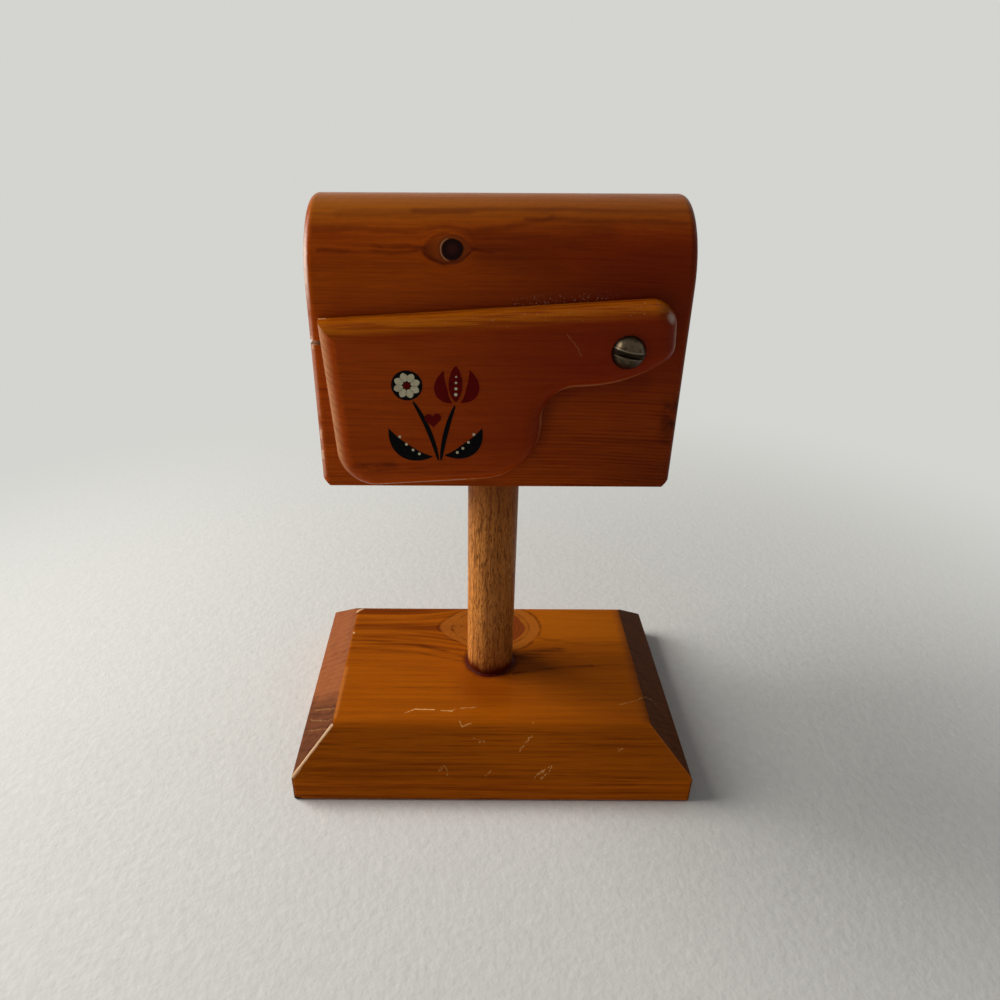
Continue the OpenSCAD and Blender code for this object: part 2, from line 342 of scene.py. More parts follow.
def base_wood():
    early, late, deep = (0.40, 0.088, 0.002), (0.15, 0.023, 0.001), (0.22, 0.037, 0.002)
    brown, golden, stain = (0.14, 0.020, 0.001), (0.52, 0.140, 0.004), (0.11, 0.014, 0.004)
    wood = Wood("base_pine_varnished", early, late, deep)
    # The large knot behind the post: rounded on its right, a pointed wedge on its left.
    knot_x, knot_y = 1.5, 18.3
    round_x, round_y, wedge_x, wedge_y = 17.0, 14.4, 19.3, 14.6
    a = wood.x - knot_x
    b = wood.y - knot_y
    round_reach = (a * a / round_x**2 + b * b / round_y**2).math("SQRT")
    wedge_reach = abs(a) / wedge_x + b * b / wedge_y**2
    right = a.rise(-7.0, 7.0)
    reach = wedge_reach + (round_reach - wedge_reach) * right
    reach = reach + wood.noise((0.15, 0.15, 0.0), seed=21) * 0.07
    flowed = wood.y - b * (reach * reach * -0.7).math("EXPONENT") * 0.85
    on_bevel = wood.y.fall(-32.0, -27.0)
    back_left = wood.y.rise(-2.0, 12.0) * wood.x.fall(-5.0, 15.0)
    ring_depth = back_left * 0.4 + 0.3
    streak_depth = on_bevel * wood.x.ramp(-30.0, 50.0, 0.6, 0.35) + back_left * 0.3 + 0.43
    wood.grow(wood.x, (flowed, wood.z), pith=(-150.0, -90.0), pitch=2.2, depths=(ring_depth, streak_depth))
    wood.fade_and_painted_light((0.42, 0.108, 0.003), 0.4)
    on_top = wood.z.rise(base_high.z - 3.0, base_high.z - 1.0)
    grain = join(wood.tree, wood.x, flowed, wood.z)
    bands = wood.noise((0.02, 0.5, 0.5), seed=24, detail=4.0, spot=grain).rise(-0.25, 0.35)
    wood.lay(brown, bands * (back_left * 0.6 + 0.2) * on_top)
    back_right = wood.path([(22.0, 22.0, base_high.z), (42.0, 18.0, base_high.z)]).fall(2.0, 18.0)
    wood.lay(golden, back_right * on_top * 0.4)
    on_lip = wood.z.fall(base_high.z - 12.0, base_high.z - 10.0)
    # Painted light and shade: the front lip is lightened and the front bevel darkened, the bevel most on the
    # left.
    wood.shade(on_lip * 0.45 - on_bevel * wood.x.ramp(-40.0, 25.0, 0.3, 0.17) + 1.0)
    lay_base_knot(wood, a, b, reach, on_top)
    lay_base_lines(wood)
    # Stain and glue gathered round the post's foot.
    foot = (wood.x * wood.x + wood.y * wood.y).math("SQRT") + wood.noise(0.3, seed=23) * 0.8
    wood.lay(stain, foot.fall(POST_R + 0.4, POST_R + 2.4) * on_top * 0.8)
    # Painted shade on the top in front of the post, under the mailbox.
    post_front_shade = wood.path([(0.0, -12.0, base_high.z)]).fall(4.0, 15.0)
    wood.lay(wood.deep, post_front_shade * on_top * 0.5)
    lay_base_ends(wood)
    wear_base(wood)
    return wood.varnish(0.27, Coat_Weight=0.1, Specular_IOR_Level=0.0)


# Small dark dots in the wedge of the base's knot: x, y, radius.
KNOT_DOTS = ((-12.2, 18.6, 0.5), (-13.1, 16.6, 0.8), (-10.9, 15, 0.5), (-13.6, 14.2, 0.5), (-9.8, 18.8, 0.7))


def lay_base_knot(wood, a, b, reach, on_top):
    """A pale knot with a red heart and two thin dark outlines, and small dark dots in its wedge."""
    pale, red = (0.40, 0.115, 0.012), (0.20, 0.036, 0.006)
    dark_red, fleck = (0.12, 0.020, 0.004), (0.22, 0.045, 0.006)
    heart_off, heart_x, heart_y = 2.3, 9.6, 8.6
    wood.lay(pale, reach.fall(0.93, 1.02) * on_top * 0.7)
    off = a - heart_off
    heart = (off * off / heart_x**2 + b * b / heart_y**2).math("SQRT")
    heart = heart + wood.noise((0.2, 0.2, 0.0), seed=22) * 0.15
    wood.lay(red, heart.fall(0.9, 1.08) * on_top * 0.85)
    rings = abs((heart * 6.0).math("FRACT") - 0.5).fall(0.05, 0.25) * heart.fall(0.9, 1.0)
    wood.lay(dark_red, rings * on_top * 0.4)
    worn = wood.noise(0.25, seed=29).rise(-0.5, 0.3)
    for at, width, depth in ((0.76, 0.04, 0.45), (1.0, 0.05, 0.55)):
        wood.lay(DARK_LINE, abs(reach - at).fall(0.2 * width, width) * on_top * worn * depth)
    speckle = wood.noise((0.9, 0.9, 0.0), seed=25, detail=3.0).rise(0.15, 0.5) * reach.fall(0.8, 1.0)
    wood.lay(fleck, speckle * on_top * 0.5)
    for x, y, size in KNOT_DOTS:
        wood.lay(DARK_LINE, wood.path([(x, y, base_high.z)]).fall(0.2 * size, size) * 0.55)


# Dark lines in the base's top, from the photograph: points in plan, width, depth.
BASE_DARK_LINES = (
    # The first two, broad lines right of the post, are partly painted shadow of the post and partly grain.
    ([(8, 1.5), (17.5, 4.6), (24, 6.0)], 4.2, 0.65),
    ([(8, -1.5), (18, 1.0), (28, 2.0)], 2.4, 0.45),
    ([(8, -6.4), (21.5, -3.7), (34, -2.6)], 1.1, 0.65),
    ([(34, -2.6), (47, -2.0)], 0.9, 0.35),
    ([(-48, 10.4), (-25.5, 8.7), (-15, 4.6), (-8.3, 1.3)], 1.4, 0.6),
    ([(-48, 6.3), (-25.5, 4.6), (-8.3, -1.2)], 0.9, 0.45),
    ([(-46, -13.7), (-10, -13.5)], 0.7, 0.35),
    ([(18, 12), (30, 9), (47, 8.6)], 1.6, 0.3),
)


def lay_base_lines(wood):
    """Dark lines in the top that run past the knot and the post; the broad ones right of the post are partly
    painted shadow of the post.
    """
    plan = wood.shaken(0.9, 0.12, seed=26, spot=join(wood.tree, wood.x, wood.y, 0.0))
    facing_up = wood.up.rise(0.8, 0.95)
    broken = wood.noise((0.07, 0.9, 0.9), seed=30, detail=4.0).rise(-0.35, 0.25)
    for points, width, depth in BASE_DARK_LINES:
        line = wood.path([(x, y, 0.0) for x, y in points], plan)
        wood.lay(DARK_LINE, line.fall(0.1, width) * broken * facing_up * depth)


def lay_base_ends(wood):
    """The end grain: pinkish on the left, partly painted sheen, with a dark front third, dark brown on the
    right.
    """
    pink, pink_arc, heart_brown = (0.27, 0.098, 0.044), (0.20, 0.042, 0.012), (0.090, 0.028, 0.012)
    brown, brown_arc, worn_brown = (0.145, 0.041, 0.011), (0.062, 0.020, 0.008), (0.11, 0.032, 0.009)
    arcs = wood.rings * 0.6 + wood.noise((0.1, 0.3, 0.3), seed=27).rise(-0.1, 0.4) * 0.4
    left = (wood.right * -1.0).rise(0.35, 0.6)
    # Painted sheen: the left end is laid pale pink over its end grain colour.
    wood.lay(pink, left * 0.7)
    wood.lay(pink_arc, left * arcs * 0.65)
    heartwood = (wood.radius + wood.noise(0.12, seed=28) * 3.0).fall(168.5, 177.0)
    wood.lay(heart_brown, left * heartwood * (arcs * 0.35 + 0.7))
    right = wood.right.rise(0.35, 0.6)
    crest = base_high.x - BEVEL_RUN
    right = right.most(wood.x.rise(crest - 3.5, crest + 0.5) * wood.up.rise(0.93, 0.99) * 0.6)
    wood.lay(brown, right * 0.9)
    wood.lay(brown_arc, right * arcs * 0.8)
    sheen = wood.noise((0.25, 0.05, 0.25), seed=20, detail=3.0).rise(0.05, 0.4)
    wood.lay(worn_brown, right * sheen * 0.4)


# Pale scratches in the base, from the photograph: points in plan, depth.
BASE_SCRATCHES = (
    ([(-27.1, -25.0), (-23.7, -23.2), (-17.9, -23.4)], 1.5),
    ([(-15.7, -23.7), (-12.6, -24.1), (-11.3, -23.1)], 1.4),
    ([(-9.5, -22.8), (-4.7, -22.2)], 0.5),
    ([(-9.9, -28.2), (-9.0, -29.9), (-6.4, -29.1)], 0.6),
    ([(-5.5, -32.3), (-3.8, -33.2), (-2.1, -33.2)], 0.6),
    ([(8.5, -35.2), (9.9, -33.7), (12.1, -31.9)], 0.7),
    ([(8.1, -34.6), (10.3, -33.9)], 0.5),
    ([(12.6, -28.7)], 0.8),
    ([(-15.7, -39.1), (-14.4, -38.2), (-13.1, -39.4), (-13.5, -40.0)], 0.4),
    ([(-1.7, -40.2), (-0.4, -39.3)], 0.6),
    ([(12.2, -41.0), (13.9, -39.9), (17.8, -38.1), (17.3, -39.3), (14.3, -41.0)], 0.7),
    ([(38.0, -34.9), (39.7, -34.4)], 0.6),
    ([(40.4, -20.9), (46.1, -18.9), (51.8, -15.0), (53.7, -15.6)], 0.45),
    ([(-57.2, -15.4), (-48.9, -22.9)], 0.25),
    ([(-58.0, -19.2), (-50.7, -26.3), (-49.2, -27.0)], 0.25),
    ([(-58.0, -23.7), (-50.0, -30.3)], 0.2),
)


def wear_base(wood):
    """Rubbed edges and pale scratches, each placed by where it lies seen from above."""
    left_hip, right_hip, left_crest = (0.88, 0.56, 0.32), (0.45, 0.14, 0.03), (0.62, 0.22, 0.05)
    chip_shadow = (0.02, 0.006, 0.003)
    plan = join(wood.tree, wood.x, wood.y, 0.0)
    facing_up = wood.up.rise(0.25, 0.5)
    straight = wood.shaken(0.12, 0.7, seed=31, spot=plan)
    patchy = wood.noise(0.3, seed=34).rise(-0.8, -0.1)
    left, front = base_low.x, base_low.y
    crest_x, crest_y = left + BEVEL_RUN, front + BEVEL_RUN
    for points, width, depth, colour in (
        ([(left + 0.6, front + 0.6), (crest_x - 0.2, crest_y - 0.2)], 0.62, 1.0, left_hip),
        ([(left + 0.6, front + 0.6), (left + 2.2, front + 2.2)], 1.0, 0.5, PALE_WOOD),
        ([(-left - 0.6, front + 0.6), (-crest_x, crest_y)], 0.4, 0.3, right_hip),
        ([(crest_x + 0.4, crest_y + 3), (crest_x + 0.6, -4)], 0.9, 0.35, left_crest),
        ([(crest_x + 1.5, -crest_y - 0.6), (crest_x, -crest_y - 2)], 0.8, 0.8, PALE_WOOD),
        ([(crest_x + 0.4, 14.7)], 0.6, 0.9, PALE_WOOD),
    ):
        rubbed = wood.path([(x, y, 0.0) for x, y in points], straight).fall(0.3 * width, width)
        wood.lay(colour, rubbed * patchy * facing_up * depth)
    bent = wood.shaken(0.45, 0.5, seed=36, spot=plan)
    jagged = wood.shaken(0.9, 0.9, seed=39, spot=plan)
    broken = wood.noise(0.8, seed=35, detail=4.0).rise(-0.45, 0.1)
    for points, depth in BASE_SCRATCHES:
        on_bevel = points[0][1] < crest_y
        spot, width = (jagged, 0.27) if on_bevel else (bent, 0.34)
        scratch = wood.path([(x, y, 0.0) for x, y in points], spot).fall(0.05, width)
        wood.lay(SCRATCHED, scratch * broken * facing_up * depth * 0.75)
    chip = wood.path([(left + 0.8, front + 0.4, 0.6), (left + 2.0, front + 0.4, 0.4)])
    wood.lay(chip_shadow, chip.fall(0.5, 1.1))


def on_round(x, degrees, sunk=0.0):
    """A place on the mailbox's half-round top: 0 degrees is its front spring line, 90 its ridge."""
    turn, reach = math.radians(degrees), BOX_R - sunk
    return (x, -reach * math.cos(turn), SPRING_Z + reach * math.sin(turn))


def box_wood():
    early, late, deep = (0.46, 0.076, 0.002), (0.16, 0.015, 0.001), (0.145, 0.004, 0.0005)
    ridge_brown = (0.17, 0.036, 0.002)
    wood = Wood("box_pine_varnished", early, late, deep)
    # The grain bends round the black knot in an eye, and droops towards the right end.
    knot_x, knot_arc = -11.3, BOX_R * math.radians(26.6)
    eye_x, eye_half, eye_top, eye_bottom = -12.6, 6.0, 3.7, 3.2
    arc = (wood.z - SPRING_Z).math("ARCTAN2", wood.y * -1.0) * BOX_R
    a = wood.x - eye_x
    b = arc - knot_arc
    above = b.rise(-0.8, 0.8)
    lens = (1.0 - a * a / eye_half**2).most(0.0)
    height = lens * (above * (eye_top - eye_bottom) + eye_bottom)
    push = height * (above * 2.0 - 1.0) * (abs(b) * -0.22).math("EXPONENT")
    droop = (wood.x - 8.0).most(0.0)
    low = wood.z.fall(112.0, 132.0)
    ring_depth = low * wood.x.ramp(-10.0, 30.0, 0.2, 0.8) + 0.2
    streak_depth = low * 0.18 + 0.32
    bent = wood.z - push + droop * droop * 0.001
    depths = (ring_depth, streak_depth)
    wood.grow(wood.x, (wood.y, bent), pith=(10.0, 30.0), pitch=0.92, depths=depths, wander=1.2)
    # Painted sheen: the round top is paler and pinker up to the ridge, on top of some sun fading.
    wood.fade_and_painted_light((0.345, 0.114, 0.005), 0.68)
    level = wood.up.rise(0.5, 0.95)
    wood.lay(ridge_brown, level * (wood.streaks.rise(0.0, 0.45) * 0.3 + wood.rings * 0.3))
    reddened = wood.x.rise(-30.0, 36.0) * wood.z.ramp(112.0, 135.0, 0.35, 0.75)
    wood.lay(wood.deep, reddened * wood.up.ramp(0.4, 0.95, 1.0, 0.25))
    lay_box_lines(wood)
    outline_brown, eye_brown, eye_shade = (0.085, 0.007, 0.001), (0.22, 0.042, 0.004), (0.09, 0.010, 0.001)
    outline = abs(abs(b) - height + wood.noise(0.3, seed=44) * 0.6)
    thick = a.ramp(-6.0, 3.0, 1.2, 0.7) * above.ramp(0.0, 1.0, 1.0, 0.7)
    dark = abs(a).fall(5.0, 6.6) * above.ramp(0.0, 1.0, 0.8, 0.4)
    wood.lay(outline_brown, (outline / thick).fall(0.1, 1.1) * dark)
    inside = (height - abs(b)).rise(0.0, 0.8)
    wood.lay(eye_brown, inside * 0.5)
    wood.lay(eye_shade, inside * a.fall(-5.5, -1.5) * 0.6)
    lay_black_knot(wood, wood.x - knot_x, b)
    lay_box_ends(wood)
    raw_inside(wood)
    loose = wood.shaken(0.5, 0.8, seed=61)
    chips_and_rim_highlight(wood, loose)
    soil_and_shadow_front(wood, loose)
    return wood.varnish(0.28)


# Soft dark lines on the mailbox, from the photograph: x and degrees on the round top, width, depth.
BOX_DARK_LINES = (
    ([(-44, 39.6), (-34, 41.5), (-24, 39.5), (-16.5, 41), (-12, 43), (-6.5, 39), (1, 43), (12, 52)],
     1.5, 0.45),
    ([(-34, 29.0), (-28, 28.6), (-22, 29.2), (-18.0, 27.6)], 0.9, 0.85),
    ([(-43, 25.0), (-26, 24.4), (-20, 26.0)], 0.8, 0.6),
    ([(-6.8, 26.3), (-2.0, 25.2)], 0.7, 0.7),
    ([(-6, 31), (8, 34), (24, 40)], 5.5, 0.45),
    ([(-4, 22), (12, 15)], 5.0, 0.3),
    ([(-20, 58), (8, 60), (45, 59)], 1.8, 0.45),
    ([(6, 50), (44, 48)], 1.4, 0.45),
    ([(-38, 55), (-8, 56)], 2.4, 0.3),
)


def lay_box_lines(wood):
    """Soft dark lines along the round top, and smudges on the right of the knot."""
    soft_dark = (0.08, 0.006, 0.001)
    wavering = wood.shaken(1.2, 0.1, seed=42)
    broken = wood.noise((0.05, 0.8, 0.8), seed=45, detail=4.0).rise(-0.8, 0.2)
    for points, width, depth in BOX_DARK_LINES:
        line = wood.path([on_round(*place) for place in points], wavering)
        wood.lay(soft_dark, line.fall(0.0, width) * broken * depth)


def lay_box_ends(wood):
    """The sawn ends: browner, with the rings' arcs and open pores."""
    sawn, arc, pore = (0.26, 0.066, 0.014), (0.10, 0.016, 0.003), (0.09, 0.014, 0.003)
    ends = abs(wood.right).rise(0.4, 0.95)
    pores = wood.noise((1.0, 1.8, 1.8), seed=46, detail=3.0).rise(0.15, 0.5)
    wood.lay(sawn, ends * 0.7)
    wood.lay(arc, ends * wood.rings * 0.75)
    wood.lay(pore, ends * pores * 0.4)


def lay_black_knot(wood, across, up):
    """The knot itself, nearly black, with a thin pale rim on its left."""
    bark, pale = (0.16, 0.030, 0.006), (0.50, 0.30, 0.16)
    black, dull_red = (0.014, 0.003, 0.002), (0.060, 0.012, 0.009)
    radius = 2.75
    reach = (across * across + up * up).math("SQRT") + wood.noise(0.5, seed=43) * 0.2
    wood.lay(bark, abs(reach - radius - 0.5).fall(0.1, 0.5) * 0.6)
    wood.lay(black, reach.fall(radius - 0.4, radius + 0.2))
    wood.lay(dull_red, reach.fall(0.2, 2.0) * 0.6)
    rim = abs(reach - radius - 0.05).fall(0.04, 0.2) * across.fall(-1.8, -0.6)
    wood.lay(pale, rim * 0.6)


def raw_inside(wood):
    """The chamber and the saw slot are bare wood."""
    slot_brown, tool_mark = (0.24, 0.10, 0.04), (0.33, 0.16, 0.06)
    half_slot = SLOT_H / 2
    off_x = wood.x - CHAMBER_X
    off_z = wood.z - CHAMBER_Z
    within = (off_x * off_x + off_z * off_z).math("SQRT").fall(CHAMBER_R + 0.05, CHAMBER_R + 0.3)
    behind_face = wood.y.rise(box_low.y + 0.3, box_low.y + 0.8)
    deep = behind_face * wood.y.fall(CHAMBER_BACK + 0.1, CHAMBER_BACK + 0.4)
    level = abs(wood.z - SLOT_Z).fall(half_slot + 0.02, half_slot + 0.1)
    in_slot = level * wood.x.fall(CHAMBER_X, CHAMBER_X + 1)
    bare = within.most(in_slot) * deep
    wood.lay(RAW_WOOD, bare * within * 0.9)
    wood.lay(slot_brown, in_slot * deep * 0.8)
    turned = (wood.y * 0.9 + wood.noise(0.1, seed=51) * 2.0).math("FRACT")
    wood.lay(tool_mark, bare * turned.rise(0.6, 0.95) * 0.4)


# Chips in the mailbox's left front corner: lower and upper z, width.
BOX_CHIPS = ((109.6, 111.4, 0.6), (103.8, 105.6, 0.7), (133.4, 134.1, 0.5), (135.4, 136.0, 0.5))


def chips_and_rim_highlight(wood, loose):
    """Pale chips along the mailbox's left front corner, and its left rim lightened, partly rubbed and partly
    a painted highlight.
    """
    chipped, rubbed = (0.64, 0.36, 0.19), (0.90, 0.66, 0.54)
    eased = 0.6
    left, front = box_low.x + eased, box_low.y + eased
    for low, high, width in BOX_CHIPS:
        chip = wood.path([(left, front, low), (left, front, high)], loose).fall(0.4 * width, width)
        wood.lay(chipped, chip * 0.8)
    # Painted highlight along the left rim, with some rubbing.
    rim = [(left, front, box_low.z + 3), (left, front, SPRING_Z)]
    rim += [on_round(left, degrees, eased) for degrees in (12, 24, 36, 48, 60)]
    worn = wood.path(rim).fall(0.35, 1.0) * wood.noise((0.0, 0.0, 0.2), seed=64).rise(-0.7, 0.1)
    worn = worn * wood.z.fall(SPRING_Z + 7.0, SPRING_Z + 16.0)
    wood.lay(rubbed, worn * wood.z.ramp(SPRING_Z - 6.0, SPRING_Z + 2.0, 0.2, 0.85))


# Where the closed cover's lower edge lies on the mailbox's front, in the cover's own measures.
COVER_EDGE = ((5, -9.0), (-10, -9.2), (-18, -11.5), (-20.5, -17.2), (-22, -23), (-28, -30), (-36, -33))


def soil_and_shadow_front(wood, loose):
    """Dust above the cover, painted shadow along its lower edge, and a darkened lower right corner."""
    smudged, darkened = (0.025, 0.002, 0.0005), (0.05, 0.004, 0.0005)
    dust = wood.noise(2.2, seed=65).rise(0.2, 0.42)
    near_cover = wood.path([on_round(4, -11.5), on_round(26, -7.5)]).fall(0.5, 2.6)
    wood.lay(DUST, dust * near_cover * 0.55)
    # Painted shadow on the front along the closed cover's lower edge.
    cover_edge_shadow = wood.path([cover_point(a, b, 0.0) for a, b in COVER_EDGE]).fall(0.5, 4.5)
    wood.lay(PAINTED_EDGE_SHADOW, cover_edge_shadow * wood.back.fall(-0.9, -0.5) * 0.3)
    smudge = wood.path([(44.5, box_low.y, 119.0), (45.0, box_low.y, 111.0)], loose).fall(0.5, 4.5)
    wood.lay(smudged, smudge * wood.noise(0.3, seed=66, detail=3.0).rise(-0.4, 0.3) * 0.7)
    wood.lay(darkened, wood.x.rise(14.0, 46.0) * wood.z.fall(97.0, 120.0) * 0.4)


# Dark streaks on the cover's face, from the photograph: start and end as x and z, width, depth.
COVER_STREAKS = (
    ((-37.0, 104.6), (-25.8, 105.2), 1.6, 0.55),
    ((-33.0, 103.4), (-14.0, 104.7), 0.6, 0.4),
    ((-30.0, 141.3), (0.0, 143.3), 0.5, 0.3),
)


def cover_wood():
    early, late, deep = (0.41, 0.060, 0.002), (0.20, 0.019, 0.001), (0.165, 0.003, 0.0005)
    sawn_pale_and_sheen, sawn_arc = (0.52, 0.27, 0.115), (0.13, 0.024, 0.005)
    rim_highlight, dark_streak = (0.62, 0.27, 0.11), (0.07, 0.006, 0.002)
    wood = Wood("cover_pine_varnished", early, late, deep)
    wood.grow(wood.x, (wood.y, wood.z), pith=(60.0, 20.0), pitch=1.6, depths=(0.3, 0.35), wander=2.5)
    # Painted light: the cover's upper edges are paler, on top of some sun fading.
    wood.fade_and_painted_light((0.50, 0.140, 0.004), 0.72, steep=0.15, level=0.7)
    fine = wood.noise((0.06, 2.4, 2.4), seed=75, detail=4.0).rise(0.0, 0.4) * 0.4
    wood.lay(wood.late, (wood.streaks.rise(-0.1, 0.25) * 0.6).most(fine) * wood.up.rise(0.1, 0.5))
    reddened = wood.x.rise(-34.0, 26.0) * wood.z.ramp(99.0, 114.0, 0.5, 1.0)
    wood.lay(wood.deep, reddened * wood.up.ramp(0.1, 0.7, 0.65, 0.15))
    face_y = cover_low.y
    loose = wood.shaken(0.3, 0.8, seed=72)
    broken = wood.noise((0.2, 0.9, 0.9), seed=73, detail=4.0).rise(-0.4, 0.3)
    for start, end, width, depth in COVER_STREAKS:
        streak = wood.path([(x, face_y, z) for x, z in (start, end)], loose)
        wood.lay(dark_streak, streak.fall(0.0, width) * broken * depth)
    wood.lay(wood.deep, abs(wood.right).rise(0.3, 0.95) * 0.35)
    # Painted highlight on the rims that face down and right.
    rubbed = (wood.up * -1.0).rise(0.6, 0.9).most(wood.right.rise(0.75, 0.97))
    wood.lay(rim_highlight, rubbed * 0.45)
    # The sawn left end is laid pale: partly its end grain, partly painted sheen.
    sawn = (wood.right * -1.0).rise(0.3, 0.85)
    hatch = wood.noise((0.5, 1.4, 3.6), seed=71, detail=3.0).rise(-0.2, 0.4)
    wood.lay(sawn_pale_and_sheen, sawn * (hatch * 0.25 + 0.5))
    wood.lay(sawn_arc, sawn * wood.rings * 0.6)
    wear_cover(wood, loose)
    return wood.varnish(0.26)


def wear_cover(wood, loose):
    """Chips along the cover's edges, partly painted highlight at its top left mitre, a scratch on its arm,
    dust on its top, a painted highlight on its nose.
    """
    nose_highlight = (0.85, 0.72, 0.62)
    face_y = cover_low.y
    corner = cover_point(-73.3, 10.8, 0.4)
    # The first three pale lines, at the top left mitre and edges, are partly chips and partly painted
    # highlight.
    for points, width, depth in (
        ([corner, cover_point(-70.0, 7.4, 5.6)], 0.4, 0.5),
        ([corner, cover_point(-72.0, 10.8, 0.4)], 0.7, 0.8),
        ([cover_point(-73.4, 9.0, 0.4), cover_point(-73.4, -20.0, 0.4)], 0.4, 0.4),
        ([cover_point(-38.0, 9.6, 4.2)], 0.35, 0.8),
        ([cover_point(-26.0, 10.2, 3.4)], 0.3, 0.7),
        ([cover_point(-12.0, 8.0, 5.6)], 0.3, 0.6),
        ([cover_point(4.0, 10.4, 3.0)], 0.4, 0.8),
        ([(15.7, face_y, 139.0), (17.5, face_y, 137.0), (19.4, face_y, 134.0)], 0.22, 0.11),
    ):
        wood.lay(PALE_WOOD, wood.path(points, loose).fall(0.3 * width, width) * depth)
    dust = wood.noise(2.0, seed=74).rise(0.36, 0.52) * wood.up.rise(0.2, 0.6)
    wood.lay(DUST, dust * wood.x.rise(-30.0, 20.0) * 0.6)
    # Painted highlight on the nose's upper right corner.
    wood.lay(nose_highlight, wood.path([cover_point(10.4, 7.4, 5.2)], loose).fall(0.4, 2.0) * 0.5)


def cover_point(a, b, depth):
    """A point on the cover, in the row frame: a right of the pivot, b above it, depth out from its back."""
    x = PIVOT.x + a * math.cos(COVER_SAG) - b * math.sin(COVER_SAG)
    z = PIVOT.z + a * math.sin(COVER_SAG) + b * math.cos(COVER_SAG)
    return Vector((x, cover_high.y - depth, z))


# Flecks in the dowel, from long to short: noise scales, seed, depth.
POST_FLECKS = (((1.6, 1.6, 0.16), 81, 0.6), ((2.9, 2.9, 0.42), 82, 0.75), ((4.2, 4.2, 0.8), 85, 0.6))


def post_wood():
    early, late, deep = (0.82, 0.315, 0.070), (0.20, 0.050, 0.007), (0.17, 0.030, 0.004)
    shaded_side, fleck = (0.24, 0.062, 0.008), (0.085, 0.020, 0.004)
    foot_stain, head_shadow = (0.085, 0.003, 0.0005), (0.16, 0.034, 0.008)
    wood = Wood("dowel_varnished", early, late, deep)
    wood.grow(wood.z, (wood.x, wood.y), pith=(-21.0, 16.0), pitch=1.9, depths=(0.45, 0.35))
    # Painted shade: the dowel's right side is darker.
    wood.lay(shaded_side, wood.x.rise(-6.0, 2.0) * 0.55)
    for scales, seed, depth in POST_FLECKS:
        wood.lay(fleck, wood.noise(scales, seed, detail=3.0).rise(0.04, 0.36) * depth)
    foot = wood.z + wood.noise((0.5, 0.5, 0.1), seed=83) * 2.0
    wood.lay(foot_stain, foot.fall(base_high.z + 1.2, base_high.z + 5.2) * 0.95)
    # Painted shadow of the mailbox on the top of the dowel.
    head = wood.z + wood.noise((0.5, 0.5, 0.1), seed=84) * 2.0
    wood.lay(head_shadow, head.rise(box_low.z - 26.0, box_low.z) * 0.6)
    return wood.varnish(0.36, relief=0.08)


# Metal, paper, paint and glue


def screw_metal():
    steel, tarnished, under_head = (0.075, 0.055, 0.034), (0.030, 0.020, 0.011), (0.025, 0.015, 0.009)
    slot_dirt, slot_burr = (0.022, 0.014, 0.008), (0.26, 0.21, 0.15)
    slot_half = 0.6
    metal = Surface("aged_steel")
    metal.start(steel)
    tarnish = metal.noise(0.7, seed=91, detail=4.0)
    metal.lay(tarnished, tarnish.rise(-0.15, 0.35) * 0.85)
    off_x, off_z = metal.x - PIVOT.x, metal.z - PIVOT.z
    reach = (off_x * off_x + off_z * off_z).math("SQRT")
    metal.lay(under_head, reach.rise(3.3, 4.1) * 0.85)
    across = abs(off_x * math.sin(SCREW_TURN) + off_z * math.cos(SCREW_TURN))
    metal.lay(slot_dirt, across.fall(slot_half, slot_half + 0.12))
    burr = abs(across - (slot_half + 0.25)).fall(0.05, 0.2)
    metal.lay(slot_burr, burr * tarnish.rise(-0.2, 0.2) * 0.5)
    scuffs = metal.noise((0.6, 0.6, 5.0), seed=92, detail=3.0)
    roughness = tarnish * 0.2 + scuffs * 0.1 + 0.34
    return metal.finish(roughness, tarnish + scuffs * 0.5, relief=0.06, Metallic=1.0)


def paper():
    fresh, yellowed = (0.80, 0.75, 0.63), (0.62, 0.52, 0.36)
    sheet = Surface("gummed_paper")
    sheet.start(fresh)
    pulp = sheet.noise(1.6, seed=101, detail=4.0)
    aged = sheet.noise(0.06, seed=102)
    sheet.lay(yellowed, aged.rise(-0.1, 0.6) * 0.5)
    sheet.shade(pulp * 0.12 + 1.0)
    return sheet.finish(pulp * 0.1 + 0.6, pulp, relief=0.02, Specular_IOR_Level=0.3)


def paint(name, colour, faded, seed):
    """Stencil paint, dabbed on: uneven, with the wood showing through in small spots."""
    bare = (0.16, 0.02, 0.003)
    coat = Surface(name)
    coat.start(colour)
    dabs = coat.noise(0.7, seed, 4.0)
    coat.lay(faded, dabs.rise(0.0, 0.55) * 0.7)
    coat.lay(bare, coat.noise(2.5, seed + 1).rise(0.42, 0.6) * 0.6)
    return coat.finish(dabs * 0.15 + 0.42, dabs, relief=0.03, Specular_IOR_Level=0.04)


def glue():
    thick, thin = (0.065, 0.005, 0.001), (0.11, 0.013, 0.002)
    bead = Surface("stain_bead")
    bead.start(thick)
    bead.lay(thin, bead.noise(0.5, seed=111, detail=3.0).rise(0.0, 0.5) * 0.7)
    lumps = bead.noise(0.8, seed=112)
    return bead.finish(lumps * 0.1 + 0.45, lumps, relief=0.1, Specular_IOR_Level=0.06)


# Mesh pieces


def piece(name, points, faces, material):
    """A smooth-shaded mesh object from millimetre points."""
    mesh = bpy.data.meshes.new(name)
    mesh.from_pydata([tuple(MM * value for value in point) for point in points], [], faces)
    mesh.update()
    mesh.materials.append(material)
    mesh.shade_smooth()
    made = bpy.data.objects.new(name, mesh)
    bpy.context.scene.collection.objects.link(made)
    return made


def tube_faces(rings, count):
    """Quads between rings of count points each."""
    return [
        (i * count + j, i * count + (j + 1) % count, (i + 1) * count + (j + 1) % count, (i + 1) * count + j)
        for i in range(rings - 1)
        for j in range(count)
    ]


